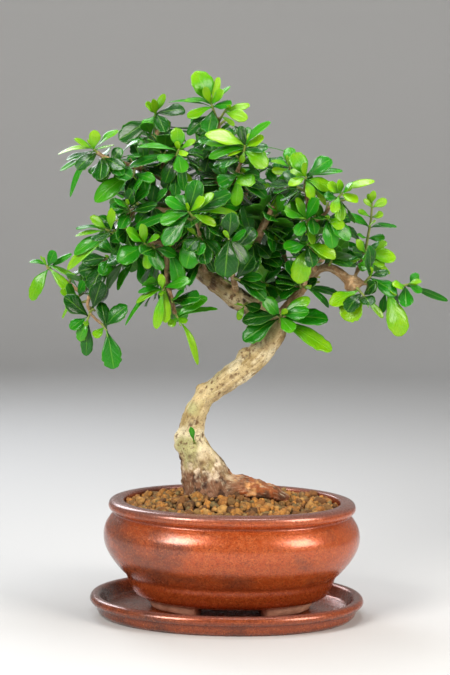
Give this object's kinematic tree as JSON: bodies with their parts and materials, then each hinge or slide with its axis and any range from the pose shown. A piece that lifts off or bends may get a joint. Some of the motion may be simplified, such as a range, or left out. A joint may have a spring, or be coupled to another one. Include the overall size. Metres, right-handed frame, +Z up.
{
  "type": "fukien tea bonsai",
  "caption": "Small fukien tea bonsai with a curved bare trunk and a broad leafy crown, in an oval glazed pot on its own oval saucer.",
  "frame": {"origin": "middle of the saucer's flat underside", "axes": "+Z up the tree, +X to the right along the pot's length seen from the front, -Y towards the front"},
  "size_m": [0.3278, 0.1785, 0.4296],
  "materials": {
    "pot_glaze": "glossy mottled red-brown glaze, bare clay at the feet",
    "saucer_glaze": "glossy mottled red-brown glaze",
    "baked_clay_grains": "matt porous grains",
    "bark": "rough pale bark",
    "leaves": "glossy leaves on thin green stems",
    "young_leaves": "satin young leaves",
    "screen_plastic": "matt moulded mesh"
  },
  "bodies": {
    "root": {"drain_screen_left": "screen_plastic", "drain_screen_right": "screen_plastic", "pot": "pot_glaze", "saucer": "saucer_glaze", "soil": "baked_clay_grains", "spray_back_left": "leaves", "spray_back_left_middle": "leaves", "spray_back_middle": "leaves", "spray_back_right": "leaves", "spray_back_top": "leaves", "spray_centre_back": "leaves", "spray_centre_back_low": "leaves", "spray_centre_dark": "leaves", "spray_centre_front": "leaves", "spray_far_middle": "leaves", "spray_far_tip": "leaves", "spray_fork_low": "leaves", "spray_front_fork": "leaves", "spray_hanging_middle": "leaves", "spray_hanging_side": "leaves", "spray_hanging_tip": "leaves", "spray_hanging_top": "leaves", "spray_inner_low": "leaves", "spray_inner_middle": "leaves", "spray_inner_tip": "leaves", "spray_leader_middle": "leaves", "spray_leader_side_low": "leaves", "spray_leader_side_tip": "leaves", "spray_left_drop_middle": "leaves", "spray_left_drop_tip": "leaves", "spray_left_end": "leaves", "spray_left_fork": "leaves", "spray_left_high_low": "leaves", "spray_left_high_middle": "leaves", "spray_left_high_tip": "leaves", "spray_left_low_middle": "leaves", "spray_left_low_outer": "leaves", "spray_left_middle_tip": "leaves", "spray_left_middle_up": "leaves", "spray_limb_front": "leaves", "spray_middle_front": "leaves", "spray_outer_low": "leaves", "spray_outer_stem": "leaves", "spray_right_fork": "leaves", "spray_right_low": "leaves", "spray_right_side_middle": "leaves", "spray_right_side_tip": "leaves", "spray_right_upright_low": "leaves", "spray_right_upright_middle": "leaves", "spray_right_upright_tip": "leaves", "spray_sprout": "young_leaves", "spray_stem_front": "leaves", "spray_stem_low": "leaves", "spray_top_left_low": "leaves", "spray_top_left_tip": "leaves", "spray_top_side": "leaves", "spray_top_tip": "leaves", "spray_turn_front": "leaves", "spray_turn_left": "leaves", "tree": "bark"}
  },
  "joints": []
}
